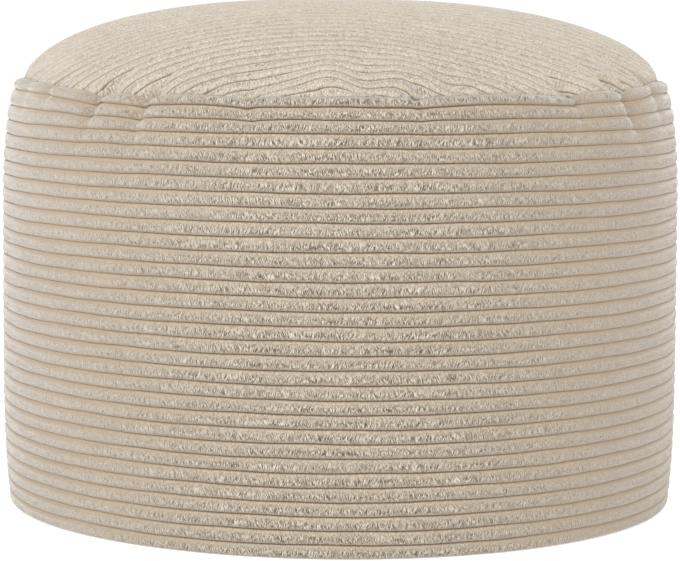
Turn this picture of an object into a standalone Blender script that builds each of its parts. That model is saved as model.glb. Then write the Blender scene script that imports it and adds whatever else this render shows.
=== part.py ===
"""A round bean bag footstool in jumbo cord: a filled wall, a crowned top panel and a flat base panel.

Metres, +Z up. The bag stands on its base at z = 0 with its middle on the Z axis. Its front faces -Y, and the
ribs of the top panel run along X. Bearings are measured round the bag from the front towards +X. Every solid
reaches to the ridges of the cord, whose ribs and pile are finer than these solids.
"""

import math

import bmesh
import bpy

# Cord: the width of one rib, from groove to groove. The wall is cut to a whole number of ribs.
RIB = 0.0097
WALL_RIBS = 32

# Wall: widest at the belly, drawn in towards the top seam and towards the foot.
BELLY_RADIUS = 0.2502
BELLY_HEIGHT = 20.5 * RIB
TOP_DRAW_IN = 0.0090
TOP_DRAW_POWER = 3.6
FOOT_DRAW_IN = 0.0050
FOOT_DRAW_POWER = 5.5
SHOULDER_HEIGHT = (WALL_RIBS - 1) * RIB

# Seam between wall and top panel.
SEAM_HEIGHT = (WALL_RIBS - 0.25) * RIB
SEAM_RADIUS = 24.5 * RIB
SEAM_DROP = 0.6

# Crown: how far the filled top panel rises above its seam. Across the ribs, towards the front and the back,
# it falls in one easy curve. Along the ribs, towards the sides, it stays flat longer and drops more steeply.
CROWN_RISE = 0.0605
CROWN_FRONT_POWER = 2.05
CROWN_FRONT_SHOULDER = 1.0
CROWN_SIDE_POWER = 3.0
CROWN_SIDE_SHOULDER = 1.55
SEAM_DIP_POWER = 12

# Base panel and the rounded edge with which the wall's lowest rib rolls under to meet it.
BASE_THICKNESS = 0.003
BASE_EDGE = 0.001
FOOT_ROLL = 0.0017
FOOT_ROLL_HEIGHT = 0.004
GAP = 0.0003

# The cloth isn't quite round: two slow swells, the same on opposite sides so that the bag stays centred.
SWELLS = (
    # waves, size_m, turn_deg, twist_deg_per_m
    (2, 0.0007, 35.0, 180.0),
    (4, 0.0005, 70.0, -420.0),
)

# Puckers: where the top seam draws the wall in, from left to right across the front.
PUCKERS = (
    # bearing_deg, pull_m, half_width_m, reach_m, lean_m
    (-68.0, 0.0022, 0.011, 0.020, 0.000),
    (-57.0, 0.0018, 0.008, 0.014, -0.004),
    (-42.5, 0.0042, 0.010, 0.030, -0.012),
    (-32.5, 0.0050, 0.009, 0.030, -0.010),
    (-15.5, 0.0026, 0.010, 0.018, 0.006),
    (-5.0, 0.0012, 0.008, 0.012, 0.002),
    (12.0, 0.0020, 0.008, 0.014, 0.002),
    (36.0, 0.0016, 0.008, 0.014, 0.004),
    (40.5, 0.0034, 0.009, 0.024, 0.008),
    (54.5, 0.0046, 0.010, 0.030, 0.010),
    (67.0, 0.0024, 0.010, 0.022, 0.004),
)
# The same round the back: evenly spaced, then each strays and varies by its own slow wave.
BACK_PUCKERS = 9
BACK_PUCKER_START_DEG = 95.0
BACK_PUCKER_SPACING_DEG = 21.5
BACK_PUCKER = {"pull": 0.0030, "half_width": 0.010, "reach": 0.022, "lean": 0.0}
BACK_PUCKER_VARIES = {"pull": 0.0014, "half_width": 0.001, "reach": 0.006, "lean": 0.008}
BACK_STRAY_DEG = 5.0
STRAY_RATE = 2.4
VARY_RATE = 1.7

# Gathers: where the top panel's spare cloth stands up in soft ridges along the seam.
GATHERS = (
    # bearing_deg, rise_m, half_width_m, reach_m
    (-62.0, 0.0024, 0.016, 0.045),
    (-49.0, 0.0030, 0.016, 0.050),
    (-37.0, 0.0026, 0.014, 0.040),
    (-23.0, 0.0020, 0.018, 0.040),
    (-2.0, 0.0046, 0.020, 0.060),
    (11.5, 0.0050, 0.018, 0.060),
    (21.5, 0.0030, 0.012, 0.040),
    (32.0, 0.0018, 0.016, 0.040),
    (47.0, 0.0030, 0.014, 0.050),
    (61.0, 0.0026, 0.016, 0.045),
)
BACK_GATHERS = 9
BACK_GATHER_START_DEG = 98.0
BACK_GATHER_SPACING_DEG = 20.0
BACK_GATHER = {"rise": 0.0030, "half_width": 0.016, "reach": 0.046}
BACK_GATHER_VARIES = {"rise": 0.0012, "half_width": 0.002, "reach": 0.008}
GATHER_PEAK = 0.25
GATHER_LENGTH = 0.6

# How finely the solids are faceted.
COLUMNS = 90
WALL_ROWS = (0.0, 0.05, 0.12, 0.22, 0.34, 0.46, 0.58, 0.69, 0.78, 0.85, 0.90, 0.94, 0.97, 1.0)
CROWN_ROWS = (0.985, 0.96, 0.925, 0.88, 0.82, 0.74, 0.62, 0.46, 0.26)
SEAT_SHARES = (0.9, 0.6)
SEAT_DEPTH = 0.010

CORD_COLOUR = (0.60, 0.52, 0.40, 1.0)
CORD_ROUGHNESS = 0.9


def clear_scene():
    for thing in list(bpy.data.objects):
        bpy.data.objects.remove(thing, do_unlink=True)


def cord_material(name, shade):
    """Cotton-like pile cloth: matt, not metallic, slightly lighter or darker on each panel."""
    material = bpy.data.materials.new(name)
    material.use_nodes = True
    surface = material.node_tree.nodes["Principled BSDF"]
    red, green, blue, alpha = CORD_COLOUR
    surface.inputs["Base Color"].default_value = (red * shade, green * shade, blue * shade, alpha)
    surface.inputs["Roughness"].default_value = CORD_ROUGHNESS
    surface.inputs["Metallic"].default_value = 0.0
    return material


def back_rows(count, start_deg, spacing_deg, middle, varies):
    """Rows round the back of the bag: a bearing, then each named size, varied from row to row."""
    rows = []
    for n in range(count):
        bearing = start_deg + spacing_deg * n + BACK_STRAY_DEG * math.sin(STRAY_RATE * n)
        sizes = [middle[size] + varies[size] * math.sin(VARY_RATE * n + len(size)) for size in middle]
        rows.append((bearing, *sizes))
    return rows


ALL_PUCKERS = PUCKERS + tuple(
    back_rows(BACK_PUCKERS, BACK_PUCKER_START_DEG, BACK_PUCKER_SPACING_DEG, BACK_PUCKER, BACK_PUCKER_VARIES)
)
ALL_GATHERS = GATHERS + tuple(
    back_rows(BACK_GATHERS, BACK_GATHER_START_DEG, BACK_GATHER_SPACING_DEG, BACK_GATHER, BACK_GATHER_VARIES)
)


def arc_apart(bearing, other_deg):
    """How far apart two bearings are along the seam, in metres, positive where the first lies to the right."""
    turn = bearing - math.radians(other_deg)
    return SEAM_RADIUS * math.atan2(math.sin(turn), math.cos(turn))


def bump(distance, half_width):
    """A smooth hill, 1 at its middle and fading over its half width."""
    return math.exp(-((distance / half_width) ** 2))


def pucker_pull(bearing, below_seam):
    """How far the puckers draw the wall in, at a bearing and a distance below the seam."""
    pull = 0.0
    for centre, depth, half_width, reach, lean in ALL_PUCKERS:
        fade = bump(below_seam, reach)
        across = arc_apart(bearing, centre) - lean * below_seam / reach
        pull += depth * fade * bump(across, half_width)
    return pull


def gather_rise(bearing, from_seam):
    """How far the gathers lift the top panel, at a bearing and a distance inwards from the seam."""
    rise = 0.0
    for centre, height, half_width, reach in ALL_GATHERS:
        along = bump(from_seam - GATHER_PEAK * reach, GATHER_LENGTH * reach)
        across = bump(arc_apart(bearing, centre), half_width * (1.0 + from_seam / reach))
        rise += height * along * across
    return rise


def swell(bearing, height):
    total = 0.0
    for waves, size, turn, twist in SWELLS:
        total += size * math.sin(waves * bearing + math.radians(turn + twist * height))
    return total


def wall_radius(bearing, height):
    """The wall's ridges: a belly that draws in to the shoulder and the foot, with its swells and puckers."""
    if height > BELLY_HEIGHT:
        share = (height - BELLY_HEIGHT) / (SEAM_HEIGHT - BELLY_HEIGHT)
        radius = BELLY_RADIUS - TOP_DRAW_IN * share**TOP_DRAW_POWER
    else:
        share = (BELLY_HEIGHT - height) / BELLY_HEIGHT
        radius = BELLY_RADIUS - FOOT_DRAW_IN * share**FOOT_DRAW_POWER
    return radius + swell(bearing, height) - pucker_pull(bearing, SEAM_HEIGHT - height)


def at(bearing, radius, height):
    return (radius * math.sin(bearing), -radius * math.cos(bearing), height)


def bearings():
    return [2.0 * math.pi * column / COLUMNS for column in range(COLUMNS)]


def level_ring(radius, height):
    return [at(bearing, radius, height) for bearing in bearings()]


def wall_ring(height, draw_in=0.0):
    return [at(bearing, wall_radius(bearing, height) - draw_in, height) for bearing in bearings()]


def seam_place(bearing):
    """The seam's radius and height: each pucker pulls it inwards and a little down."""
    pull = pucker_pull(bearing, 0.0)
    return SEAM_RADIUS + swell(bearing, SEAM_HEIGHT) - pull, SEAM_HEIGHT - SEAM_DROP * pull


def seam_ring(lift):
    return [at(bearing, seam_place(bearing)[0], seam_place(bearing)[1] + lift) for bearing in bearings()]


def crown_rise(bearing, share):
    """The crown's height above the seam at a share of the way out from its middle."""
    sideways = math.sin(bearing) ** 2
    power = CROWN_FRONT_POWER + (CROWN_SIDE_POWER - CROWN_FRONT_POWER) * sideways
    shoulder = CROWN_FRONT_SHOULDER + (CROWN_SIDE_SHOULDER - CROWN_FRONT_SHOULDER) * sideways
    return CROWN_RISE * (1.0 - share**power) ** (1.0 / shoulder)


def crown_ring(share):
    """A ring of the top panel at a share of the way out from its middle to the seam."""
    ring = []
    for bearing in bearings():
        radius, height = seam_place(bearing)
        level = SEAM_HEIGHT + (height - SEAM_HEIGHT) * share**SEAM_DIP_POWER
        rise = crown_rise(bearing, share) + gather_rise(bearing, radius * (1.0 - share))
        ring.append(at(bearing, radius * share, level + rise))
    return ring


def skin(mesh, first, second):
    """Two triangles in each column between two rings, always on the same diagonal."""
    for here in range(COLUMNS):
        after = (here + 1) % COLUMNS
        mesh.faces.new((first[here], first[after], second[after]))
        mesh.faces.new((first[here], second[after], second[here]))


def close_end(mesh, ring, height):
    """A fan from a ring to a point on the Z axis."""
    hub = mesh.verts.new((0.0, 0.0, height))
    for here in range(COLUMNS):
        mesh.faces.new((ring[here], ring[(here + 1) % COLUMNS], hub))


def lofted(name, rings, first_height, last_height, material):
    """One closed solid skinned over its rings, with a fan across each end."""
    mesh = bmesh.new()
    loops = [[mesh.verts.new(point) for point in ring] for ring in rings]
    for first, second in zip(loops, loops[1:]):
        skin(mesh, first, second)
    close_end(mesh, loops[0], first_height)
    close_end(mesh, loops[-1], last_height)
    bmesh.ops.recalc_face_normals(mesh, faces=mesh.faces[:])
    data = bpy.data.meshes.new(name)
    mesh.to_mesh(data)
    mesh.free()
    data.shade_smooth()
    data.set_sharp_from_angle(angle=math.radians(40.0))
    data.materials.append(material)
    piece = bpy.data.objects.new(name, data)
    bpy.context.scene.collection.objects.link(piece)
    return piece


def side_band():
    """The filled wall, from the edge of the base up over the shoulder to the seam and the seat of the crown."""
    foot = BASE_THICKNESS + GAP
    rolled = foot + FOOT_ROLL_HEIGHT
    rings = [wall_ring(foot, FOOT_ROLL)]
    for share in WALL_ROWS:
        rings.append(wall_ring(rolled + share * (SHOULDER_HEIGHT - rolled)))
    rings.append(seam_ring(0.0))
    rings += seat_rings(0.0)
    return lofted("side_band", rings, foot, seat_height(), cord_material("wall_cord", 1.0))


def seat_height():
    return SEAM_HEIGHT - SEAT_DEPTH


def seat_rings(lift):
    """The level seat on which the crown lies, inside the seam."""
    return [level_ring(SEAM_RADIUS * share, seat_height() + lift) for share in SEAT_SHARES]


def top_panel():
    """The filled crown, from its middle out and down to the seam, then in along its seat."""
    rings = [crown_ring(share) for share in reversed(CROWN_ROWS)]
    rings.append(seam_ring(GAP))
    rings += seat_rings(GAP)
    top = SEAM_HEIGHT + CROWN_RISE
    return lofted("top_panel", rings, top, seat_height() + GAP, cord_material("top_cord", 1.05))


def base_panel():
    """The flat panel underneath, its lower edge slightly rounded."""
    radius = BELLY_RADIUS - FOOT_DRAW_IN - FOOT_ROLL
    rings = [level_ring(radius - BASE_EDGE, 0.0), level_ring(radius, BASE_EDGE)]
    rings.append(level_ring(radius, BASE_THICKNESS))
    return lofted("base_panel", rings, 0.0, BASE_THICKNESS, cord_material("base_cloth", 0.9))


def main():
    clear_scene()
    side_band()
    top_panel()
    base_panel()


main()
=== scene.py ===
# %% [markdown]
# # A bean bag footstool in jumbo cord
#
# The real thing is a round bag of wide cord, filled with light beads until it stands like a drum. Three
# pieces of cloth make it: a long strip round the side, a round panel on top and a plain round panel
# underneath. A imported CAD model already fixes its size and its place. This lesson builds the cloth around
# that model: the ribs as real shapes, the pile as a pattern in the material, and the puckers where the
# round panel is gathered into the strip.

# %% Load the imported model
import math

import bmesh
import bpy
import numpy as np
from mathutils import Matrix, Vector


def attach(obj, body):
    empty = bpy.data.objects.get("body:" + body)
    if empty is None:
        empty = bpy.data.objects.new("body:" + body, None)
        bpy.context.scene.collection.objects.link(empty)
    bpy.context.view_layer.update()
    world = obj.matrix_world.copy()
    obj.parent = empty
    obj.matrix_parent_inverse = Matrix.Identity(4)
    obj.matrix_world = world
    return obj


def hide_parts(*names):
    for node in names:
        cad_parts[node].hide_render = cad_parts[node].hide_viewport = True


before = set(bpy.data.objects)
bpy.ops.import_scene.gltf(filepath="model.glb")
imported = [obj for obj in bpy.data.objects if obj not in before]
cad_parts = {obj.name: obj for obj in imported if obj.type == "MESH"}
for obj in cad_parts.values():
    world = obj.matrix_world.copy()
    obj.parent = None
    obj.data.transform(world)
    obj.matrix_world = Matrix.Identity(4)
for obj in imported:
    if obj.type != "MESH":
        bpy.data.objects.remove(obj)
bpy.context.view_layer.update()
print("packed pieces:", ", ".join(sorted(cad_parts)))

# %% [markdown]
# ## Camera
#
# The stool is seen almost level, from just under two metres away, a little below the height of its crown.
# That makes the top a thin slice and the side nearly a plain rectangle, so the lens is long and the
# camera low. It leans by a third of a degree, as a camera on a tripod does.

# %% Place the camera
CAMERA_PLACE = (0.0, -1.946, 0.358)
CAMERA_LENS_MM = 138.65
CAMERA_TILT_DEG = 84.21
CAMERA_LEAN_DEG = 0.34
SENSOR_MM = 36.0

tilt = Matrix.Rotation(math.radians(CAMERA_TILT_DEG), 3, "X")
lean = Matrix.Rotation(math.radians(CAMERA_LEAN_DEG), 3, "Z")
bpy.ops.object.select_all(action="DESELECT")
bpy.ops.object.camera_add(location=CAMERA_PLACE, rotation=(tilt @ lean).to_euler())
camera = bpy.context.object
camera.name = "camera"
camera.data.lens = CAMERA_LENS_MM
camera.data.sensor_width = SENSOR_MM
bpy.context.scene.camera = camera
print("camera:", CAMERA_PLACE, "with a lens of", CAMERA_LENS_MM, "mm")

# %% [markdown]
# ## Studio
#
# A white sky lights everything evenly and shows as a white background. The floor is white as well and
# glows slightly, so that hardly a shadow is left under the stool. One large soft lamp above, in front and
# to the left gives the ribs their light upper sides and leaves the right of the bag a little darker.

# %% Floor, sky and lamp
FLOOR_SIZE = 14.0
FLOOR_WHITE = 0.85
FLOOR_GLOW = 0.55
SKY_WHITE = (1.08, 1.03, 1.0, 1.0)
SKY_STRENGTH = 1.0
LAMP_PLACE = (-0.85, -1.9, 2.5)
LAMP_AIM = (0.0, 0.0, 0.2)
LAMP_SIZE = 1.6
LAMP_POWER = 46.0
LAMP_COLOUR = (0.94, 0.98, 1.0)

bpy.ops.object.select_all(action="DESELECT")
bpy.ops.mesh.primitive_plane_add(size=FLOOR_SIZE, location=(0.0, 0.0, 0.0))
floor = bpy.context.object
floor.name = "floor"
floor_finish = bpy.data.materials.new("floor_white")
floor_finish.use_nodes = True
floor_surface = floor_finish.node_tree.nodes["Principled BSDF"]
floor_surface.inputs["Base Color"].default_value = (FLOOR_WHITE, FLOOR_WHITE, FLOOR_WHITE, 1.0)
floor_surface.inputs["Roughness"].default_value = 1.0
floor_surface.inputs["Specular IOR Level"].default_value = 0.0
floor_surface.inputs["Emission Color"].default_value = (1.0, 1.0, 1.0, 1.0)
floor_surface.inputs["Emission Strength"].default_value = FLOOR_GLOW
floor.data.materials.append(floor_finish)

sky = bpy.data.worlds.new("white_sky")
sky.use_nodes = True
sky.node_tree.nodes["Background"].inputs["Color"].default_value = SKY_WHITE
sky.node_tree.nodes["Background"].inputs["Strength"].default_value = SKY_STRENGTH
bpy.context.scene.world = sky

lamp_turn = (Vector(LAMP_AIM) - Vector(LAMP_PLACE)).to_track_quat("-Z", "Y").to_euler()
bpy.ops.object.light_add(type="AREA", location=LAMP_PLACE, rotation=lamp_turn)
lamp = bpy.context.object
lamp.name = "soft_lamp"
lamp.data.size = LAMP_SIZE
lamp.data.energy = LAMP_POWER
lamp.data.color = LAMP_COLOUR
bpy.context.scene.view_settings.view_transform = "Standard"
print("floor", FLOOR_SIZE, "m across; lamp", LAMP_SIZE, "m across at", LAMP_PLACE)

# %% [markdown]
# ## The form of the filled bag
#
# Before any cloth, the form it is stretched over. The wall bellies out and is drawn in towards the top
# seam and the foot. Sizes are in metres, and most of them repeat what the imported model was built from, so
# the cloth lands on it. The crown and the gathers have been refined since, and no longer follow it: the
# crown stands 1.5 mm higher, the seam is drawn in up to 4 mm more at the sides, and the flanks of the crown
# lie up to 10 mm lower between the front, the sides and the back. The height of the wall is counted in
# ribs, because a maker counts them too: the strip is cut 32 ribs wide.

# %% Sizes of the bag
RIB = 0.0097
WALL_RIBS = 32
BELLY_RADIUS = 0.2502
BELLY_HEIGHT = 20.5 * RIB
TOP_DRAW_IN = 0.0090
TOP_DRAW_POWER = 3.6
FOOT_DRAW_IN = 0.0050
FOOT_DRAW_POWER = 5.5
SEAM_HEIGHT = (WALL_RIBS - 0.25) * RIB
SEAM_RADIUS = 24.5 * RIB
SEAM_DROP = 0.6
CROWN_RISE = 0.0620
SWELLS = (
    # waves, size_m, turn_deg, twist_deg_per_m
    (2, 0.0007, 35.0, 180.0),
    (4, 0.0005, 70.0, -420.0),
)
print("wall", WALL_RIBS, "ribs high;", round(2.0 * math.pi * BELLY_RADIUS / RIB), "rib widths round")

# %% [markdown]
# ## Puckers and gathers
#
# A round panel never fits a straight strip exactly. Where the seam bites, the wall is pulled in and down:
# a pucker. Between the bites, the spare cloth of the top stands up in soft ridges: a gather. Both are
# listed one by one in their own sizes, because even spacing would look like a pie crust. Bearings are
# measured round the bag from its front, towards +X. The back, which nobody has seen, has the same kind of
# row, spread evenly and then varied.

# %% Tables of puckers and gathers
PUCKERS = (
    # bearing_deg, pull_m, half_width_m, reach_m, lean_m
    (-68.0, 0.0022, 0.011, 0.020, 0.000),
    (-57.0, 0.0018, 0.008, 0.014, -0.004),
    (-42.5, 0.0042, 0.010, 0.030, -0.012),
    (-32.5, 0.0050, 0.009, 0.030, -0.010),
    (-15.5, 0.0026, 0.010, 0.018, 0.006),
    (-5.0, 0.0012, 0.008, 0.012, 0.002),
    (12.0, 0.0020, 0.008, 0.014, 0.002),
    (36.0, 0.0016, 0.008, 0.014, 0.004),
    (40.5, 0.0034, 0.009, 0.024, 0.008),
    (54.5, 0.0046, 0.010, 0.030, 0.010),
    (67.0, 0.0024, 0.010, 0.022, 0.004),
)
NIPS = (
    # the narrow bite at the middle of the deepest puckers, in the same sizes
    (-56.6, 0.0012, 0.0030, 0.010, -0.003),
    (-42.6, 0.0036, 0.0030, 0.024, -0.009),
    (-32.3, 0.0036, 0.0030, 0.022, -0.006),
    (-15.0, 0.0018, 0.0030, 0.012, 0.004),
    (12.1, 0.0016, 0.0026, 0.010, 0.000),
    (40.8, 0.0026, 0.0028, 0.020, 0.004),
    (54.2, 0.0036, 0.0030, 0.026, 0.009),
    (67.0, 0.0014, 0.0030, 0.012, 0.002),
)
GATHERS = (
    # bearing_deg, rise_m, half_width_m, reach_m: a rise below 0 is the trough between two gathers
    (-80.0, -0.0040, 0.022, 0.045),
    (-38.0, 0.0008, 0.010, 0.024),
    (-27.0, 0.0010, 0.014, 0.026),
    (-12.0, -0.0026, 0.018, 0.045),
    (-2.5, 0.0034, 0.014, 0.055),
    (4.0, -0.0036, 0.012, 0.050),
    (11.8, 0.0034, 0.019, 0.055),
    (18.2, -0.0030, 0.010, 0.035),
    (21.8, 0.0016, 0.008, 0.030),
    (28.0, 0.0012, 0.014, 0.024),
    (40.5, -0.0010, 0.008, 0.018),
    (48.0, 0.0008, 0.012, 0.026),
    (57.0, 0.0014, 0.010, 0.026),
)
PLEATS = (
    # bearing_deg, depth_m, half_width_m, reach_m, lean_m: narrow creases that run from the seam into the top
    (-46.4, 0.0018, 0.0026, 0.018, 0.020),
    (-43.2, 0.0024, 0.0024, 0.009, 0.010),
    (-33.2, 0.0028, 0.0026, 0.009, 0.008),
    (-22.6, 0.0018, 0.0034, 0.007, 0.005),
    (-14.4, 0.0016, 0.0040, 0.007, 0.006),
    (-5.6, 0.0016, 0.0040, 0.007, 0.008),
    (12.4, 0.0018, 0.0034, 0.006, 0.000),
    (39.8, 0.0030, 0.0030, 0.009, -0.006),
    (53.6, 0.0030, 0.0030, 0.020, -0.005),
    (59.0, 0.0024, 0.0030, 0.022, -0.005),
    (64.5, 0.0026, 0.0030, 0.020, -0.003),
)
BACK_ROWS = 9
BACK_STRAY_DEG = 5.0
STRAY_RATE = 2.4
VARY_RATE = 1.7


def back_rows(count, start_deg, spacing_deg, middle, varies):
    """Rows round the back of the bag: a bearing, then each named size, varied from row to row."""
    rows = []
    for n in range(count):
        bearing = start_deg + spacing_deg * n + BACK_STRAY_DEG * math.sin(STRAY_RATE * n)
        sizes = [middle[size] + varies[size] * math.sin(VARY_RATE * n + len(size)) for size in middle]
        rows.append((bearing, *sizes))
    return rows


ALL_PUCKERS = PUCKERS + NIPS + tuple(
    back_rows(
        BACK_ROWS, 95.0, 21.5,
        {"pull": 0.0030, "half_width": 0.010, "reach": 0.022, "lean": 0.0},
        {"pull": 0.0014, "half_width": 0.001, "reach": 0.006, "lean": 0.008},
    )
)
ALL_GATHERS = GATHERS + tuple(
    back_rows(
        BACK_ROWS, 98.0, 20.0,
        {"rise": 0.0030, "half_width": 0.016, "reach": 0.046},
        {"rise": 0.0012, "half_width": 0.002, "reach": 0.008},
    )
)
print(len(ALL_PUCKERS), "puckers in the wall,", len(ALL_GATHERS), "gathers in the top")

# %% [markdown]
# ## Laps
#
# At the deepest bites the strip laps over itself: the ribs slide down towards the bite from both sides,
# but not equally far, so that they meet with a step of up to a third of a rib. A lap is a shift of the
# cloth along the seam that jumps at its middle and dies away to both sides and downwards.

# %% Tables of laps
LAPS = (
    # bearing_deg, dip_left_m, run_left_m, rise_right_m, run_right_m, reach_m, lean_m
    (-42.6, 0.0044, 0.014, -0.0010, 0.010, 0.024, -0.010),
    (-32.3, 0.0042, 0.009, -0.0010, 0.010, 0.026, -0.007),
    (-15.0, 0.0026, 0.011, -0.0016, 0.010, 0.022, 0.008),
    (12.1, 0.0012, 0.006, -0.0012, 0.006, 0.020, 0.002),
    (40.8, 0.0018, 0.008, -0.0010, 0.008, 0.018, 0.004),
    (54.2, 0.0008, 0.010, -0.0026, 0.014, 0.026, 0.009),
)
SEAM_LEVELS = (
    # bearing_deg, lift_m: how far the whole seam rides above its even height, or below it
    (-180.0, 0.0), (-100.0, 0.0010), (-78.0, 0.0042), (-60.0, 0.0020), (-51.0, -0.0006), (-38.0, -0.0026),
    (-26.0, -0.0022), (-10.0, -0.0030), (0.0, -0.0026), (12.0, -0.0028), (27.0, -0.0008), (38.0, -0.0022),
    (46.0, -0.0004), (57.0, 0.0008), (70.0, 0.0038), (84.0, 0.0040), (110.0, 0.0), (180.0, 0.0),
)
LAP_EDGE = 0.0016


def arc_apart(bearing, other_deg):
    """How far two bearings are apart along the seam, in metres, positive if the first lies to the right."""
    turn = bearing - math.radians(other_deg)
    return SEAM_RADIUS * np.arctan2(np.sin(turn), np.cos(turn))


def hill(distance, half_width):
    """A smooth hill, 1 at its middle and fading over its half width."""
    return np.exp(-((distance / half_width) ** 2))


def lap_shift(bearing, below_seam):
    """How far the laps move the wall's cloth up or down."""
    shift = 0.0
    for centre, dip, run_left, rise, run_right, reach, lean in LAPS:
        across = arc_apart(bearing, centre) - lean * below_seam / reach
        right = 0.5 + 0.5 * np.tanh(across / LAP_EDGE)
        slide = -dip * np.exp(-np.abs(across) / run_left) * (1.0 - right)
        slide = slide + rise * np.exp(-np.abs(across) / run_right) * right
        shift = shift + slide * hill(below_seam, reach)
    return shift


def seam_lift(bearing):
    """The slow rise and fall of the seam along its whole round."""
    turn = np.arctan2(np.sin(bearing), np.cos(bearing))
    places, lifts = zip(*SEAM_LEVELS)
    return np.interp(turn, np.radians(places), lifts)


print(len(LAPS), "laps, the deepest", max(lap[1] for lap in LAPS) * 1000.0, "mm")

# %% [markdown]
# ## Formulas for the form
#
# Plain formulas turn a bearing and a height into a place. They work on whole arrays of numbers at once,
# which makes a hundred thousand points as quick as ten.


# %% Formulas for the wall and the crown
GATHER_START = 0.0065
GATHER_PEAK = 0.25
GATHER_LENGTH = 0.6
GATHER_SPREAD = 0.4
LAP_IN_SEAM = 0.8
SIDE_DRAW = 0.0040
SIDE_DRAW_POWER = 8
PAST_SEAM = 1.1
CROWN_POWER = 2.0
CROWN_POWER_SIDES = 0.48
CROWN_POWER_DIAGONALS = 0.05
CROWN_SHOULDER_SIDES = 0.76
CROWN_SHOULDER_POWER = 6
CROWN_SIDES_POWER = 1.57


def pucker_pull(bearing, below_seam):
    """How far the puckers draw the wall in, at a bearing and a distance below the seam."""
    pull = 0.0
    for centre, depth, half_width, reach, lean in ALL_PUCKERS:
        across = arc_apart(bearing, centre) - lean * below_seam / reach
        pull = pull + depth * hill(below_seam, reach) * hill(across, half_width)
    return pull


def gather_rise(bearing, from_seam):
    """How far the gathers lift the top, at a bearing and a distance inwards from the seam."""
    rise = 0.0
    for centre, height, half_width, reach in ALL_GATHERS:
        started = 1.0 - hill(from_seam, GATHER_START)
        along = hill(from_seam - GATHER_PEAK * reach, GATHER_LENGTH * reach) * started
        across = hill(arc_apart(bearing, centre), half_width * (1.0 + GATHER_SPREAD * from_seam / reach))
        rise = rise + height * along * across
    for centre, depth, half_width, reach, lean in PLEATS:
        across = hill(arc_apart(bearing, centre) - lean * from_seam / reach, half_width)
        rise = rise - depth * across * hill(from_seam, reach)
    return rise


def swell(bearing, height):
    """The slow swells of the bag, which is never quite round."""
    total = 0.0
    for waves, size, turn, twist in SWELLS:
        total = total + size * np.sin(waves * bearing + np.radians(turn + twist * height))
    return total


def wall_radius(bearing, height):
    """The ridges of the wall: a belly, drawn in to the shoulder and the foot, with its swells and puckers."""
    above = np.clip((height - BELLY_HEIGHT) / (SEAM_HEIGHT - BELLY_HEIGHT), 0.0, PAST_SEAM)
    below = np.clip((BELLY_HEIGHT - height) / BELLY_HEIGHT, 0.0, 1.0)
    radius = BELLY_RADIUS - TOP_DRAW_IN * above**TOP_DRAW_POWER - FOOT_DRAW_IN * below**FOOT_DRAW_POWER
    return radius + swell(bearing, height) - pucker_pull(bearing, SEAM_HEIGHT - height)


def seam_place(bearing):
    """The radius and the height of the seam: each pucker pulls it inwards and a little down."""
    pull = pucker_pull(bearing, 0.0)
    height = SEAM_HEIGHT - SEAM_DROP * pull + seam_lift(bearing) + LAP_IN_SEAM * lap_shift(bearing, 0.0)
    radius = SEAM_RADIUS + swell(bearing, SEAM_HEIGHT) - pull - SIDE_DRAW * np.sin(bearing) ** SIDE_DRAW_POWER
    return radius, height


def crown_rise(bearing, share):
    """The height of the crown above the seam at a share of the way out. Its sides fall more steeply."""
    sideways = 1.0 - np.abs(np.cos(bearing)) ** CROWN_SIDES_POWER
    power = CROWN_POWER + CROWN_POWER_SIDES * sideways + CROWN_POWER_DIAGONALS * np.sin(2.0 * bearing) ** 2
    shoulder = 1.0 + CROWN_SHOULDER_SIDES * sideways**CROWN_SHOULDER_POWER
    return CROWN_RISE * np.clip(1.0 - share**power, 0.0, 1.0) ** (1.0 / shoulder)


print("seam at", round(SEAM_HEIGHT, 4), "m, crown at", round(SEAM_HEIGHT + CROWN_RISE, 4), "m")

# %% [markdown]
# ## The rib
#
# Jumbo cord is thick pile standing in rows, with a narrow bare channel between them. In section each row
# is a full rounded bead. Eight lines of points draw one rib: close together beside the channel, where it
# turns sharply, and far apart on the crown. The ribs are real shapes rather than a bump pattern, because
# they stand proud at the edges of the bag and cast shade into the channels.

# %% Section of one rib
RIB_DEPTH = 0.0023
RIB_FULLNESS = 3.2
RIB_LINES = (0.0, 0.05, 0.14, 0.3, 0.5, 0.7, 0.86, 0.95)


def rib_sink(across):
    """How far the cloth lies below its ridges: across counts ribs, and each whole number is a channel."""
    beside = np.abs(2.0 * (across - np.floor(across)) - 1.0)
    return RIB_DEPTH * (1.0 - np.sqrt(np.clip(1.0 - beside**RIB_FULLNESS, 0.0, 1.0)))


def rib_rows(first, last):
    """Every line of points from one channel to another, counted in ribs."""
    return np.array([rib + share for rib in range(first, last) for share in RIB_LINES] + [last])


print("rib", RIB * 1000, "mm wide,", RIB_DEPTH * 1000, "mm deep")

# %% [markdown]
# ## From flat cloth to shaped cloth
#
# Each cord piece starts as a flat grid, like the cloth on the cutting table, with its lines of points
# along the ribs. A map of the cloth in metres is kept on it as UVs, along the rib and across it, and the
# channels and the pile drawn in the material later follow that map. Then all points move at once to their
# places on the bag, and each sinks along the surface normal by the section of its rib.


# %% Helpers for shaping cloth
MERGE_WITHIN = 0.00001
HALFWAY_UP = 0.1


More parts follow.
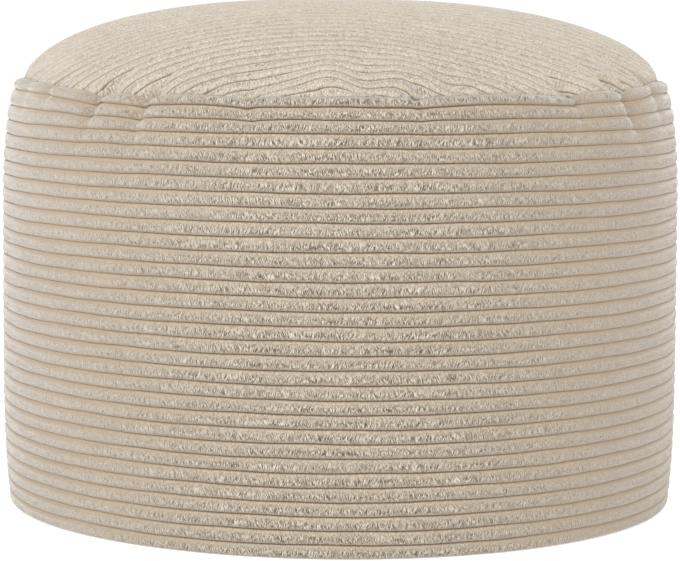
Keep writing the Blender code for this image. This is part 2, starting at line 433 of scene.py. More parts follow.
def flat_cloth(name, columns, rows):
    """A flat grid, and for each of its points the number of its column and its row."""
    bpy.ops.object.select_all(action="DESELECT")
    bpy.ops.mesh.primitive_grid_add(x_subdivisions=columns - 1, y_subdivisions=rows - 1, size=1.0)
    cloth = bpy.context.object
    cloth.name = cloth.data.name = name
    places = np.empty(len(cloth.data.vertices) * 3)
    cloth.data.vertices.foreach_get("co", places)
    places = places.reshape(-1, 3) + 0.5
    column = np.rint(places[:, 0] * (columns - 1)).astype(int)
    row = np.rint(places[:, 1] * (rows - 1)).astype(int)
    return cloth, column, row


def lay_map(cloth, along, across):
    """Keeps where every corner lies in the flat cloth, in metres, as the UV map named cord."""
    corners = np.empty(len(cloth.data.loops), int)
    cloth.data.loops.foreach_get("vertex_index", corners)
    layer = cloth.data.uv_layers.active
    layer.name = "cord"
    layer.data.foreach_set("uv", np.stack([along[corners], across[corners]], axis=1).ravel())


def normals_of(place, first, second, first_step, second_step):
    """Unit normals of a surface given by a formula of two values, found by small steps."""
    here = place(first, second)
    one = (place(first + first_step, second) - here) / np.asarray(first_step)[..., None]
    other = (place(first, second + second_step) - here) / np.asarray(second_step)[..., None]
    normal = np.cross(one, other)
    return here, normal / np.maximum(np.linalg.norm(normal, axis=1, keepdims=True), 1e-12)


def close_cloth(cloth, inner_share, turned):
    """Merges doubles, then turns every open edge inwards to a hidden flat end, as the filling would hold it.

    inner_share is the part of the radius that an end turns in to, and turned is how far it goes into the bag.
    """
    bpy.ops.object.mode_set(mode="EDIT")
    bpy.ops.mesh.select_all(action="SELECT")
    bpy.ops.mesh.remove_doubles(threshold=MERGE_WITHIN)
    bpy.ops.object.mode_set(mode="OBJECT")
    mesh = bmesh.new()
    mesh.from_mesh(cloth.data)
    edges = [edge for edge in mesh.edges if edge.is_boundary]
    heights = [vertex.co.z for edge in edges for vertex in edge.verts]
    middle = 0.5 * (min(heights) + max(heights))
    two_ends = max(heights) - min(heights) >= HALFWAY_UP
    for upper in (False, True) if two_ends else (False,):
        ring = [edge for edge in mesh.edges if edge.is_boundary]
        if two_ends:
            ring = [edge for edge in ring if (edge.verts[0].co.z > middle) == upper]
        made = bmesh.ops.extrude_edge_only(mesh, edges=ring)["geom"]
        moved = [thing for thing in made if isinstance(thing, bmesh.types.BMVert)]
        level = sum(vertex.co.z for vertex in moved) / len(moved)
        for vertex in moved:
            vertex.co.x *= inner_share
            vertex.co.y *= inner_share
            vertex.co.z = level + (-turned if level > HALFWAY_UP else turned)
        inner = [thing for thing in made if isinstance(thing, bmesh.types.BMEdge)]
        made = bmesh.ops.extrude_edge_only(mesh, edges=inner)["geom"]
        moved = [thing for thing in made if isinstance(thing, bmesh.types.BMVert)]
        hub = (0.0, 0.0, moved[0].co.z)
        bmesh.ops.pointmerge(mesh, verts=moved, merge_co=hub)
    bmesh.ops.recalc_face_normals(mesh, faces=mesh.faces[:])
    odd = sum(len(edge.link_faces) != 2 for edge in mesh.edges)
    print(cloth.name, "has", len(edges), "edges turned in and", odd, "edges without two faces")
    mesh.to_mesh(cloth.data)
    mesh.free()
    cloth.data.shade_smooth()
    triangles = sum(len(face.vertices) - 2 for face in cloth.data.polygons)
    print(cloth.name, "has", triangles, "triangles")


# %% [markdown]
# ## The wall
#
# The strip is wrapped round the bag with its ribs level. Its ends meet at the back and are merged, so
# whatever shapes it has to repeat once round: the ribs waver slowly, in whole waves. The lowest rib rolls
# under towards the base, and the topmost curls over the shoulder into the seam.

# %% Wrap and shape the wall
WALL_COLUMNS = 376
SHOULDER = WALL_RIBS - 1
CURL_OUT = 0.0005
CURL_UP = 0.0066
FOOT_ROLL = 0.0010
FOOT_ROLL_RIBS = 0.4
LIFT_REACH = 0.016
FOOT_SINK_KEPT = 0.45
WAVER = 0.00045
WAVES = (
    # share, whole waves round, turn_per_rib, start: only whole waves meet themselves again at the back
    (0.45, 9, 0.9, 1.3),
    (0.30, 17, -1.7, 4.1),
    (0.25, 32, 2.9, 0.0),
)
NIP_DENSITY = 1.6
NIP_REACH = 0.014
BEARING_TRIES = 20001
SEAM_SINK_KEPT = 0.45
WALL_STEPS = (0.002, 0.02)
WALL_END = (0.975, 0.024)


def waver(bearing, across):
    """A slow unevenness of the ribs, which no loom keeps quite straight, from -1 to 1."""
    return sum(share * np.sin(waves * bearing + rate * across + start) for share, waves, rate, start in WAVES)


def column_bearings(columns):
    """Bearings of the columns once round, closer together where a nip or a lap needs finer points."""
    tries = np.linspace(-math.pi, math.pi, BEARING_TRIES)
    density = 1.0
    for nip in NIPS:
        density = density + NIP_DENSITY * hill(arc_apart(tries, nip[0]), NIP_REACH)
    total = np.concatenate([[0.0], np.cumsum(0.5 * (density[1:] + density[:-1]))])
    return np.interp(np.linspace(0.0, total[-1], columns + 1), total, tries)


def wall_place(bearing, ribs_up):
    """The ridge surface of the wall, from the foot to the seam."""
    flat_height = ribs_up * RIB
    below_seam = SEAM_HEIGHT - flat_height
    inside = np.clip(ribs_up, 0.0, 1.0) * np.clip(WALL_RIBS - ribs_up, 0.0, 1.0)
    uneven = WAVER * inside * waver(bearing, ribs_up)
    shift = lap_shift(bearing, below_seam) + seam_lift(bearing) * hill(below_seam, LIFT_REACH) + uneven
    low = np.clip(1.0 - ribs_up / FOOT_ROLL_RIBS, 0.0, 1.0)
    height = flat_height + shift
    radius = wall_radius(bearing, height) - FOOT_ROLL * low**2
    curl = np.clip(ribs_up - SHOULDER, 0.0, 1.0)
    start = SHOULDER * RIB + shift
    start_radius = wall_radius(bearing, start)
    seam_radius, seam_height = seam_place(bearing)
    keep, blend, done = (1.0 - curl) ** 2, 2.0 * curl * (1.0 - curl), curl**2
    curled_radius = keep * start_radius + blend * (start_radius - CURL_OUT) + done * seam_radius
    curled_height = keep * start + blend * (start + CURL_UP) + done * seam_height
    radius = np.where(curl > 0.0, curled_radius, radius)
    height = np.where(curl > 0.0, curled_height, height)
    return np.stack([radius * np.sin(bearing), -radius * np.cos(bearing), height], axis=-1)


wall_rows = rib_rows(0, WALL_RIBS)
wall_cord, column, row = flat_cloth("wall_cord", WALL_COLUMNS + 1, len(wall_rows))
bearing = column_bearings(WALL_COLUMNS)[column]
ribs_up = wall_rows[row]
place, normal = normals_of(wall_place, bearing, ribs_up, *WALL_STEPS)
foot_share = np.clip(1.0 - 2.0 * ribs_up, 0.0, 1.0)
seam_share = np.clip(2.0 * (ribs_up - WALL_RIBS) + 1.0, 0.0, 1.0)
kept = 1.0 - (1.0 - FOOT_SINK_KEPT) * foot_share - (1.0 - SEAM_SINK_KEPT) * seam_share
sink = rib_sink(ribs_up) * kept
place = place - normal * sink[:, None]
miss = np.abs(place[column == WALL_COLUMNS] - place[column == 0]).max()
print("the ends of the strip meet within", round(miss * 1000, 4), "mm")
place[column == WALL_COLUMNS] = place[column == 0]
wall_cord.data.vertices.foreach_set("co", place.ravel())
lay_map(wall_cord, SEAM_RADIUS * bearing, ribs_up * RIB)
close_cloth(wall_cord, *WALL_END)

# %% [markdown]
# ## The top
#
# The round panel was cut with its ribs from side to side, then stretched over the crown. Cloth gives most
# on its bias, so near the seam at the four diagonals the ribs are dragged outwards and curve down into
# the seam. The right side is dragged over a wider stretch than the left. A formula gives, for each place
# on the crown, how many metres across the ribs it lies in the flat cloth. Read backwards, it tells where
# each rib runs, and the lines of the grid are laid there.

# %% Lay the ribs over the crown
TOP_COLUMNS = 252
TOP_RIBS = 27
FLAT_RADIUS = 0.2507
EDGE_SLOPE = 0.522
SLOPE_POWER = 1.05
SLOPE_TO_ARC = 6.2
FLAT_POWER = 3
BIASES = (
    # side, most_m, peak_power, share_power: the left of the top, then its right
    (-1.0, 0.0316, 0.99, 5.6),
    (1.0, 0.0297, 0.80, 1.25),
)
SEAM_RADIUS_POWER = 12
SEAM_LEVEL_POWER = 18
SEAM_SINK = 0.0004
SEAM_SINK_WIDTH = 0.0030
SEARCH = 700
TOP_STEP = 0.002
TOP_END = (0.93, 0.011)


def out_along_cloth(share):
    """Metres of cloth from the middle of the top to a share of the way out, measured towards the front."""
    slope = EDGE_SLOPE * share**SLOPE_POWER
    arc = SEAM_RADIUS * share * (1.0 + slope**2 / SLOPE_TO_ARC)
    whole = SEAM_RADIUS * (1.0 + EDGE_SLOPE**2 / SLOPE_TO_ARC)
    return arc + (FLAT_RADIUS - whole) * share**FLAT_POWER


def across_cloth(share, bearing):
    """Metres across the ribs, positive towards the front."""
    quarter = 1.0 - np.abs(1.0 - np.abs(bearing) / (0.5 * math.pi))
    drag = 0.0
    for side, most, peak, power in BIASES:
        here = (bearing < 0.0) if side < 0.0 else (bearing >= 0.0)
        drag = drag + here * most * np.sin(math.pi * quarter**peak) ** 2 * share**power
    return out_along_cloth(share) * np.cos(bearing) - drag * np.sign(np.cos(bearing))


def crown_place(right, front):
    """The ridge surface of the top, from a place on the unit disc."""
    share = np.minimum(np.hypot(right, front), 1.0)
    bearing = np.arctan2(right, front)
    radius, height = seam_place(bearing)
    gathered = radius
    radius = SEAM_RADIUS + (radius - SEAM_RADIUS) * share**SEAM_RADIUS_POWER
    level = SEAM_HEIGHT + (height - SEAM_HEIGHT) * share**SEAM_LEVEL_POWER
    level = level + crown_rise(bearing, share) + gather_rise(bearing, gathered * (1.0 - share))
    return np.stack([radius * share * np.sin(bearing), -radius * share * np.cos(bearing), level], axis=-1)


top_rows = rib_rows(-TOP_RIBS, TOP_RIBS)
rights = np.sin(np.linspace(-0.5 * math.pi, 0.5 * math.pi, TOP_COLUMNS))
fronts = np.zeros((TOP_COLUMNS, len(top_rows)))
acrosses = np.zeros((TOP_COLUMNS, len(top_rows)))
for number, right in enumerate(rights):
    edge = math.sqrt(max(1.0 - right * right, 0.0))
    tries = edge * np.sin(np.linspace(-0.5 * math.pi, 0.5 * math.pi, SEARCH))
    found = across_cloth(np.hypot(right, tries), np.arctan2(right, tries)) / RIB
    fronts[number] = np.interp(top_rows, found, tries)
    acrosses[number] = np.clip(top_rows, found[0], found[-1])
print("ribs cross the crown at", round(out_along_cloth(1.0) / RIB, 2), "from its middle to the front seam")

# %% [markdown]
# The seam itself is a crease: within a few millimetres of it, the top sinks below the ridge of the wall.
# A small step towards the middle gives the normal, so that no step leaves the panel.

# %% Shape the top
top_cord, column, row = flat_cloth("top_cord", TOP_COLUMNS, len(top_rows))
right = rights[column]
front = fronts[column, row]
across = acrosses[column, row]
right_step = np.where(right > 0.0, -TOP_STEP, TOP_STEP)
front_step = np.where(front > 0.0, -TOP_STEP, TOP_STEP)
place, normal = normals_of(crown_place, right, front, right_step, front_step)
normal = normal * np.where(normal[:, 2:3] < 0.0, -1.0, 1.0)
share = np.minimum(np.hypot(right, front), 1.0)
sink = rib_sink(across) + SEAM_SINK * hill(SEAM_RADIUS * (1.0 - share), SEAM_SINK_WIDTH)
place = place - normal * sink[:, None]
top_cord.data.vertices.foreach_set("co", place.ravel())
flat_along = out_along_cloth(share) * np.sin(np.arctan2(right, front))
lay_map(top_cord, flat_along, across * RIB)
close_cloth(top_cord, *TOP_END)

# %% [markdown]
# ## The base
#
# Underneath, nobody pays for cord. A plain woven panel closes the bag, flat under the weight of the
# beads, with a slight pucker all round where it meets the lowest rib. It starts as a filled circle that
# is inset into rings, so that the rim can be rippled while the middle stays flat.

# %% Cut and ripple the base
BASE_RADIUS = 0.2405
BASE_TOP = 0.0022
BASE_CLOTH = 0.0012
BASE_RINGS = (0.006, 0.006, 0.012, 0.030, 0.060, 0.060)
BASE_POINTS = 180
BASE_RIPPLE = 0.0005
RIPPLE_WIDTH = 0.010
RIPPLES = 31
RIPPLE_STRAY = 2.0
RIPPLE_STRAYS = 3

bpy.ops.object.select_all(action="DESELECT")
bpy.ops.mesh.primitive_circle_add(
    vertices=BASE_POINTS, radius=BASE_RADIUS, fill_type="NGON", location=(0.0, 0.0, BASE_TOP)
)
base_cloth = bpy.context.object
base_cloth.name = base_cloth.data.name = "base_cloth"
bpy.ops.object.mode_set(mode="EDIT")
bpy.ops.mesh.select_all(action="SELECT")
for ring in BASE_RINGS:
    bpy.ops.mesh.inset(thickness=ring, depth=0.0)
bpy.ops.mesh.poke()
bpy.ops.object.mode_set(mode="OBJECT")
bpy.ops.object.transform_apply(location=True, rotation=True, scale=True)
for vertex in base_cloth.data.vertices:
    turn = math.atan2(vertex.co.y, vertex.co.x)
    rim = math.exp(-((BASE_RADIUS - vertex.co.xy.length) / RIPPLE_WIDTH) ** 2)
    wave = math.sin(RIPPLES * turn + RIPPLE_STRAY * math.sin(RIPPLE_STRAYS * turn))
    vertex.co.z += BASE_RIPPLE * rim * wave
bpy.context.view_layer.objects.active = base_cloth
thicken = base_cloth.modifiers.new("thickness", "SOLIDIFY")
thicken.thickness = BASE_CLOTH
thicken.offset = -1.0
bpy.ops.object.modifier_apply(modifier="thickness")
base_cloth.data.shade_smooth()
base_low = min(vertex.co.z for vertex in base_cloth.data.vertices)
print("base cloth", round(2 * BASE_RADIUS, 3), "m across, lowest point", round(base_low, 5))

# %% [markdown]
# ## Effects that the cloths share
#
# Three node groups draw the cord. The first reads the map of the cloth and finds the channels between the
# ribs. The second reads it too and draws the pile: short strokes across the rib, in ruffled clusters with
# smoother cloth between them. The third reads the place on the bag and gives a slow drift of shade over
# it, from handling and from the way the pile happens to lie. It also gives a share that is 1 in the middle
# of the bag and 0 at its sides, which sets the strength of the pile strokes and of the painted shade and
# light on the ribs and in the channels.


# %% Node helpers
def new_group(name, inputs, outputs):
    """A shader node group with named sockets: inputs are (name, kind, value) and outputs (name, kind)."""
    group = bpy.data.node_groups.new(name, "ShaderNodeTree")
    for label, kind, value in inputs:
        socket = group.interface.new_socket(name=label, in_out="INPUT", socket_type="NodeSocket" + kind)
        if value is not None:
            socket.default_value = value
    for label, kind in outputs:
        group.interface.new_socket(name=label, in_out="OUTPUT", socket_type="NodeSocket" + kind)
    return group, group.nodes.new("NodeGroupInput"), group.nodes.new("NodeGroupOutput")


def math_node(tree, operation, *values):
    """A Math node: each value is a number or a socket to link."""
    node = tree.nodes.new("ShaderNodeMath")
    node.operation = operation
    for slot, value in enumerate(values):
        if isinstance(value, (int, float)):
            node.inputs[slot].default_value = value
        else:
            tree.links.new(value, node.inputs[slot])
    return node.outputs[0]


def ramp_node(tree, value, low, high, to_low=0.0, to_high=1.0):
    """A smooth step of a value from one range to another."""
    node = tree.nodes.new("ShaderNodeMapRange")
    node.interpolation_type = "SMOOTHSTEP"
    tree.links.new(value, node.inputs["Value"])
    for label, number in (("From Min", low), ("From Max", high), ("To Min", to_low), ("To Max", to_high)):
        if isinstance(number, (int, float)):
            node.inputs[label].default_value = number
        else:
            tree.links.new(number, node.inputs[label])
    return node.outputs["Result"]


def noise_node(tree, vector, scale, detail, roughness=0.5):
    """A noise pattern in three dimensions."""
    node = tree.nodes.new("ShaderNodeTexNoise")
    tree.links.new(vector, node.inputs["Vector"])
    node.inputs["Scale"].default_value = scale
    node.inputs["Detail"].default_value = detail
    node.inputs["Roughness"].default_value = roughness
    return node.outputs["Fac"]


def vector_node(tree, x, y, z):
    """A vector from three values, each a number or a socket to link."""
    node = tree.nodes.new("ShaderNodeCombineXYZ")
    for slot, value in enumerate((x, y, z)):
        if isinstance(value, (int, float)):
            node.inputs[slot].default_value = value
        else:
            tree.links.new(value, node.inputs[slot])
    return node.outputs[0]


def mix_node(tree, share, first, second):
    """A mix of two colours, each three numbers or a socket to link."""
    node = tree.nodes.new("ShaderNodeMix")
    node.data_type = "RGBA"
    tree.links.new(share, node.inputs["Factor"])
    for slot, colour in ((6, first), (7, second)):
        if isinstance(colour, tuple):
            node.inputs[slot].default_value = (*colour, 1.0)
        else:
            tree.links.new(colour, node.inputs[slot])
    return node.outputs[2]


print("node helpers ready")

# %% [markdown]
# ### Channels
#
# The distance across the cloth, counted in ribs, has a whole number at every channel. Its fraction says
# how far up the rib a point lies.

# %% Group: ribs of the cord
rib_group, given, gives = new_group(
    "Cord ribs",
    [("Map", "Vector", None), ("Rib width", "Float", RIB), ("Channel share", "Float", 0.10)],
    [("Up the rib", "Float"), ("Channel", "Float"), ("Rib number", "Float")],
)
split = rib_group.nodes.new("ShaderNodeSeparateXYZ")
rib_group.links.new(given.outputs["Map"], split.inputs[0])
count = math_node(rib_group, "DIVIDE", split.outputs["Y"], given.outputs["Rib width"])
up = math_node(rib_group, "FRACT", count)
number = math_node(rib_group, "FLOOR", count)
beside = math_node(rib_group, "MINIMUM", up, math_node(rib_group, "SUBTRACT", 1.0, up))
channel = ramp_node(rib_group, beside, 0.0, given.outputs["Channel share"], 1.0, 0.0)
rib_group.links.new(up, gives.inputs["Up the rib"])
rib_group.links.new(channel, gives.inputs["Channel"])
rib_group.links.new(number, gives.inputs["Rib number"])
print("group:", rib_group.name)

# %% [markdown]
# ### Pile
#
# Each stroke is a few millimetres long and less than one wide, so a noise pattern is squeezed along the
# rib. A second, slower pattern slants the strokes now to one side and now to the other, and a third
# gathers them into clusters. They stay off the upper edge of each rib, where the pile is brushed flat.

# %% Group: strokes of the pile
STROKE_ROOM = (0.06, 0.30, 0.42, 0.90)
STROKE_LEAN = 0.26
STROKE_RANGE = (0.36, 0.62)
OTHER_LAYER = 31.7
OWN_PATTERN = 7.31
TURNS_ALONG = 240.0
TURNS_OVER = 150.0
TURN_RANGE = (0.42, 0.58)
CLUSTER_STRETCH = 1.2
CLUSTER_RANGE = (0.34, 0.56)
CLUSTER_SHARE = 0.4
GRAIN_ALONG = 1150.0
GRAIN_OVER = 700.0

pile_group, given, gives = new_group(
    "Cord pile",
    [
        ("Map", "Vector", None), ("Up the rib", "Float", 0.5), ("Rib number", "Float", 0.0),
        ("Stroke width", "Float", 0.00048), ("Stroke length", "Float", 0.0032),
        ("Cluster size", "Float", 0.014),
    ],
    [("Strokes", "Float"), ("Grain", "Float")],
)
split = pile_group.nodes.new("ShaderNodeSeparateXYZ")
pile_group.links.new(given.outputs["Map"], split.inputs[0])
along, over = split.outputs["X"], split.outputs["Y"]
own = math_node(pile_group, "MULTIPLY", given.outputs["Rib number"], OWN_PATTERN)
layers = []
for lean, offset in ((STROKE_LEAN, 0.0), (-STROKE_LEAN, OTHER_LAYER)):
    slid = math_node(pile_group, "MULTIPLY_ADD", over, lean, along)
    layer_at = vector_node(
        pile_group,
        math_node(pile_group, "DIVIDE", slid, given.outputs["Stroke width"]),
        math_node(pile_group, "DIVIDE", over, given.outputs["Stroke length"]),
        math_node(pile_group, "ADD", own, offset),
    )
    layers.append(noise_node(pile_group, layer_at, 1.0, 1.0, 0.5))
turn_at = vector_node(
    pile_group,
    math_node(pile_group, "MULTIPLY", along, TURNS_ALONG),
    math_node(pile_group, "MULTIPLY", over, TURNS_OVER),
    own,
)
turned = ramp_node(pile_group, noise_node(pile_group, turn_at, 1.0, 0.0), *TURN_RANGE)
either = pile_group.nodes.new("ShaderNodeMix")
pile_group.links.new(turned, either.inputs["Factor"])
pile_group.links.new(layers[0], either.inputs[2])
pile_group.links.new(layers[1], either.inputs[3])
strokes = ramp_node(pile_group, either.outputs[0], *STROKE_RANGE, -1.0, 1.0)
cluster_at = vector_node(
    pile_group,
    math_node(pile_group, "DIVIDE", along, given.outputs["Cluster size"]),
    math_node(pile_group, "MULTIPLY", given.outputs["Up the rib"], CLUSTER_STRETCH),
    own,
)
clusters = ramp_node(pile_group, noise_node(pile_group, cluster_at, 1.0, 2.0, 0.6), *CLUSTER_RANGE)
low_edge = ramp_node(pile_group, given.outputs["Up the rib"], STROKE_ROOM[0], STROKE_ROOM[1])
high_edge = ramp_node(pile_group, given.outputs["Up the rib"], STROKE_ROOM[2], STROKE_ROOM[3], 1.0, 0.0)
room = math_node(pile_group, "MULTIPLY", low_edge, high_edge)
clustered = math_node(pile_group, "MULTIPLY_ADD", clusters, CLUSTER_SHARE, 1.0 - CLUSTER_SHARE)
reach = math_node(pile_group, "MULTIPLY", room, clustered)
grain_at = vector_node(
    pile_group,
    math_node(pile_group, "MULTIPLY", along, GRAIN_ALONG),
    math_node(pile_group, "MULTIPLY", over, GRAIN_OVER),
    own,
)
grain = math_node(pile_group, "SUBTRACT", noise_node(pile_group, grain_at, 1.0, 2.0, 0.7), 0.5)
pile_group.links.new(math_node(pile_group, "MULTIPLY", strokes, reach), gives.inputs["Strokes"])
pile_group.links.new(grain, gives.inputs["Grain"])
print("group:", pile_group.name)

# %% [markdown]
# ### Drift
#
# Slow patches, a hand's width across, a little lighter or darker. They read the place on the bag rather
# than the map, so they run on over the seam. The same place, taken sideways, gives the middle share: 1 in
# the middle of the bag and 0 at its sides. It sets how strongly the pile strokes show and how strong the
# painted shade in the channels and the painted light and shade on the ribs are.

# %% Group: slow drift of shade
drift_group, given, gives = new_group(
    "Shade drift",
    [
        ("Place", "Vector", None), ("Patch size", "Float", 0.07),
        ("Middle share within", "Float", 0.03), ("Sides beyond", "Float", 0.235),
    ],
    [("Drift", "Float"), ("Middle share", "Float")],
)
scaled = drift_group.nodes.new("ShaderNodeVectorMath")
scaled.operation = "DIVIDE"
drift_group.links.new(given.outputs["Place"], scaled.inputs[0])
patch = vector_node(
    drift_group, given.outputs["Patch size"], given.outputs["Patch size"], given.outputs["Patch size"]
)
drift_group.links.new(patch, scaled.inputs[1])
drift = math_node(drift_group, "SUBTRACT", noise_node(drift_group, scaled.outputs[0], 1.0, 3.0), 0.5)
split = drift_group.nodes.new("ShaderNodeSeparateXYZ")
drift_group.links.new(given.outputs["Place"], split.inputs[0])
sideways = math_node(drift_group, "ABSOLUTE", split.outputs["X"])
middle_share = ramp_node(
    drift_group, sideways, given.outputs["Middle share within"], given.outputs["Sides beyond"], 1.0, 0.0
)
drift_group.links.new(drift, gives.inputs["Drift"])
drift_group.links.new(middle_share, gives.inputs["Middle share"])
print("group:", drift_group.name)

# %% [markdown]
# ## Finish of the cord
#
# Cotton-like pile is matt, but its fibre tips catch light at grazing angles: that is the sheen, and it
# makes the outer edges of the bag paler and cooler. The colour is a warm beige. It is darker and browner
# in the channels: partly the woven ground that shows there, partly painted shade. On the wall each rib has
# painted light on its upper edge and painted shade at its foot. The top is the same cloth, painted lighter
# and greyer than the wall as painted light on the panel that faces up, and on it the side of each rib that
# faces the front has painted shade. The painted light and shade are strongest in the middle of the bag and
# fade towards its sides.

# %% Material of the two cord pieces
SHEEN = 1.0
SHEEN_ROUGHNESS = 0.32
SHEEN_TINT = (0.95, 0.98, 0.99, 1.0)
CORD_ROUGHNESS = 0.92
CORD_SPECULAR = 0.15
DRIFT = 0.16
# Bands of each rib, counted up the rib, that carry painted light and painted shade.
PAINTED_UPPER_BAND = (0.76, 0.88)
PAINTED_LOWER_BAND = (0.08, 0.46)
SPECK_MIDDLE = 1.7
SPECK_SIDES = 0.45
STROKES_MIDDLE = 0.86
STROKES_SIDES = 0.14
# The channel colour stands for the woven ground plus painted shade between the ribs.
CHANNEL_GROUND_AND_SHADE = (0.17, 0.115, 0.070)
STROKE_LIGHT = (0.62, 0.575, 0.49)
STROKE_DARK = (0.100, 0.075, 0.048)
LIGHT_SHARE = 0.76
STROKE_DEPTH = 0.00022
GRAIN_DEPTH = 0.5


def cord_finish(
    name, side_colour, middle_colour, painted_upper_edge, painted_lower_edge, stroke_share, sides_beyond, side_channel_ground_and_shade,
    channel_share,
):
    """The material of one cord piece. A painted edge is painted light on that side of a rib, shade below 0.
    """
    finish = bpy.data.materials.new(name)
    finish.use_nodes = True
    tree = finish.node_tree
    surface = tree.nodes["Principled BSDF"]
    surface.inputs["Roughness"].default_value = CORD_ROUGHNESS
    surface.inputs["Specular IOR Level"].default_value = CORD_SPECULAR
    surface.inputs["Sheen Weight"].default_value = SHEEN
    surface.inputs["Sheen Roughness"].default_value = SHEEN_ROUGHNESS
    surface.inputs["Sheen Tint"].default_value = SHEEN_TINT

    cloth_map = tree.nodes.new("ShaderNodeUVMap")
    cloth_map.uv_map = "cord"
    spot = tree.nodes.new("ShaderNodeTexCoord")
    ribs = tree.nodes.new("ShaderNodeGroup")
    ribs.node_tree = rib_group
    tree.links.new(cloth_map.outputs[0], ribs.inputs["Map"])
    pile = tree.nodes.new("ShaderNodeGroup")
    pile.node_tree = pile_group
    tree.links.new(cloth_map.outputs[0], pile.inputs["Map"])
    tree.links.new(ribs.outputs["Up the rib"], pile.inputs["Up the rib"])
    tree.links.new(ribs.outputs["Rib number"], pile.inputs["Rib number"])
    drift = tree.nodes.new("ShaderNodeGroup")
    drift.node_tree = drift_group
    tree.links.new(spot.outputs["Object"], drift.inputs["Place"])

    # The middle share: 1 in the middle of the bag, 0 at its sides; it fades the painted light and shade.
    drift.inputs["Sides beyond"].default_value = sides_beyond
    middle_share = drift.outputs["Middle share"]
    # Painted light on the upper edge of each rib and painted shade at its foot, fading towards the sides.
    edge = ramp_node(tree, ribs.outputs["Up the rib"], *PAINTED_UPPER_BAND, 0.0, painted_upper_edge)
    foot = ramp_node(tree, ribs.outputs["Up the rib"], *PAINTED_LOWER_BAND, painted_lower_edge, 0.0)
    edges = math_node(tree, "MULTIPLY", math_node(tree, "ADD", edge, foot), middle_share)
    slow = math_node(tree, "MULTIPLY", drift.outputs["Drift"], DRIFT)
    specked = math_node(tree, "MULTIPLY_ADD", middle_share, SPECK_MIDDLE, SPECK_SIDES)
    speck = math_node(tree, "MULTIPLY", pile.outputs["Grain"], specked)
    tone = math_node(tree, "ADD", math_node(tree, "ADD", edges, slow), math_node(tree, "ADD", speck, 1.0))

    shaded = tree.nodes.new("ShaderNodeVectorMath")
    shaded.operation = "SCALE"
    tree.links.new(mix_node(tree, middle_share, side_colour, middle_colour), shaded.inputs[0])
    tree.links.new(tone, shaded.inputs["Scale"])
    most, least = STROKES_MIDDLE * stroke_share, STROKES_SIDES * stroke_share
    contrast = math_node(tree, "MULTIPLY_ADD", middle_share, most, least)
    ruffle = math_node(tree, "MULTIPLY", pile.outputs["Strokes"], contrast)
    lit = math_node(tree, "MULTIPLY", math_node(tree, "MAXIMUM", ruffle, 0.0), LIGHT_SHARE)
    colour = mix_node(tree, lit, shaded.outputs[0], STROKE_LIGHT)
    shaded_share = math_node(tree, "MAXIMUM", math_node(tree, "MULTIPLY", ruffle, -1.0), 0.0)
    colour = mix_node(tree, shaded_share, colour, STROKE_DARK)
    # The channels: the woven ground that shows there plus painted shade, lighter towards the sides.
    ground_and_shade = mix_node(tree, middle_share, side_channel_ground_and_shade, CHANNEL_GROUND_AND_SHADE)
    shown = math_node(tree, "MULTIPLY", ribs.outputs["Channel"], channel_share)
    colour = mix_node(tree, shown, colour, ground_and_shade)
    tree.links.new(colour, surface.inputs["Base Color"])

    fine = math_node(tree, "MULTIPLY", pile.outputs["Grain"], GRAIN_DEPTH)
    height = math_node(tree, "ADD", pile.outputs["Strokes"], fine)
    raised = tree.nodes.new("ShaderNodeBump")
    raised.inputs["Strength"].default_value = 1.0
    raised.inputs["Distance"].default_value = STROKE_DEPTH
    tree.links.new(height, raised.inputs["Height"])
    tree.links.new(raised.outputs[0], surface.inputs["Normal"])
    return finish


wall_finish = cord_finish(
    "wall_cord", side_colour=(0.336, 0.276, 0.207), middle_colour=(0.344, 0.297, 0.233),
    painted_upper_edge=0.13, painted_lower_edge=-0.15, stroke_share=1.0, sides_beyond=0.235,
    side_channel_ground_and_shade=(0.46, 0.38, 0.29), channel_share=0.9,
)
# The top is the same cord, painted lighter and greyer than the wall: painted light on the panel that faces
# up. Its painted edges shade the side of each rib that faces the front and lighten the other.
top_finish = cord_finish(
    "top_cord", side_colour=(0.468, 0.408, 0.328), middle_colour=(0.474, 0.420, 0.342),
    painted_upper_edge=-0.08, painted_lower_edge=0.05, stroke_share=0.72, sides_beyond=0.50,
    side_channel_ground_and_shade=(0.28, 0.222, 0.16), channel_share=0.95,
)
for piece, finish in ((wall_cord, wall_finish), (top_cord, top_finish)):
    piece.data.materials.clear()
    piece.data.materials.append(finish)
print("finishes:", wall_finish.name, top_finish.name)

# %% [markdown]
# ## Finish of the base
#
# A plain weave of beige threads, seen only when the bag is tipped over. Two sets of fine waves, one for
# each direction of thread, raise it and darken the gaps.

# %% Material of the base
THREAD = 0.0011
WEAVE_COLOUR = (0.36, 0.295, 0.22)
WEAVE_ROUGHNESS = 0.88
WEAVE_SPECULAR = 0.2
WEAVE_SHADE = 0.07
WEAVE_DEPTH = 0.0002
SLUB_SCALE = 55.0
SLUB_SHADE = 0.20
SLUB_BASE = 0.90

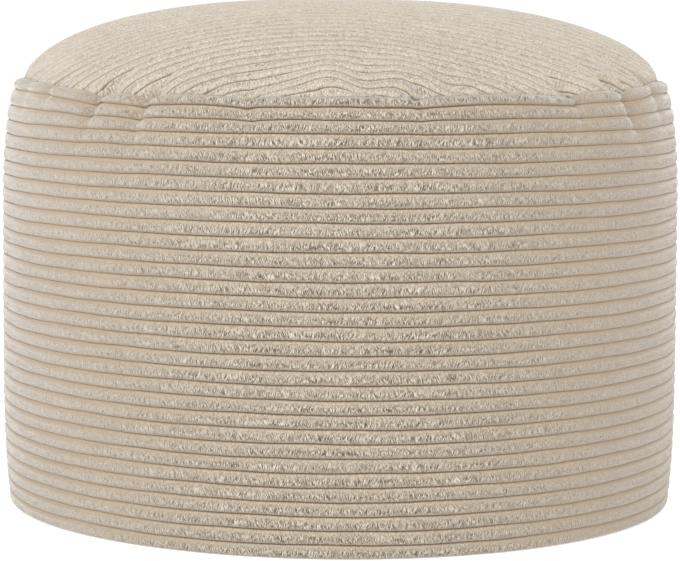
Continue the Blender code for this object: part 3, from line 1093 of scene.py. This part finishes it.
base_finish = bpy.data.materials.new("base_cloth")
base_finish.use_nodes = True
tree = base_finish.node_tree
surface = tree.nodes["Principled BSDF"]
surface.inputs["Roughness"].default_value = WEAVE_ROUGHNESS
surface.inputs["Specular IOR Level"].default_value = WEAVE_SPECULAR
spot = tree.nodes.new("ShaderNodeTexCoord")
split = tree.nodes.new("ShaderNodeSeparateXYZ")
tree.links.new(spot.outputs["Object"], split.inputs[0])
turns = 2.0 * math.pi / THREAD
warp = math_node(tree, "SINE", math_node(tree, "MULTIPLY", split.outputs["X"], turns))
weft = math_node(tree, "SINE", math_node(tree, "MULTIPLY", split.outputs["Y"], turns))
weave = math_node(tree, "MULTIPLY", warp, weft)
slub = noise_node(tree, spot.outputs["Object"], SLUB_SCALE, 4.0, 0.6)
patches = math_node(tree, "MULTIPLY_ADD", slub, SLUB_SHADE, SLUB_BASE)
tone = math_node(tree, "MULTIPLY_ADD", weave, WEAVE_SHADE, patches)
shaded = tree.nodes.new("ShaderNodeVectorMath")
shaded.operation = "SCALE"
shaded.inputs[0].default_value = WEAVE_COLOUR
tree.links.new(tone, shaded.inputs["Scale"])
tree.links.new(shaded.outputs[0], surface.inputs["Base Color"])
raised = tree.nodes.new("ShaderNodeBump")
raised.inputs["Strength"].default_value = 0.6
raised.inputs["Distance"].default_value = WEAVE_DEPTH
tree.links.new(weave, raised.inputs["Height"])
tree.links.new(raised.outputs[0], surface.inputs["Normal"])
base_cloth.data.materials.clear()
base_cloth.data.materials.append(base_finish)
print("finish:", base_finish.name, "with threads every", THREAD * 1000, "mm")

# %% [markdown]
# ## Join the cloth to the model
#
# Each piece rides on the one body of the model and stands for the plain piece that it covers, which is
# hidden. The base is one flat round of cloth, held out by the seam.

# %% Ride and replace
for piece, node, slot in (
    (wall_cord, "side_band", "wall_cord"),
    (top_cord, "top_panel", "top_cord"),
    (base_cloth, "base_panel", "base_cloth"),
):
    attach(piece, "root")
    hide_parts(node)
print("pieces:", wall_cord.name, top_cord.name, base_cloth.name)
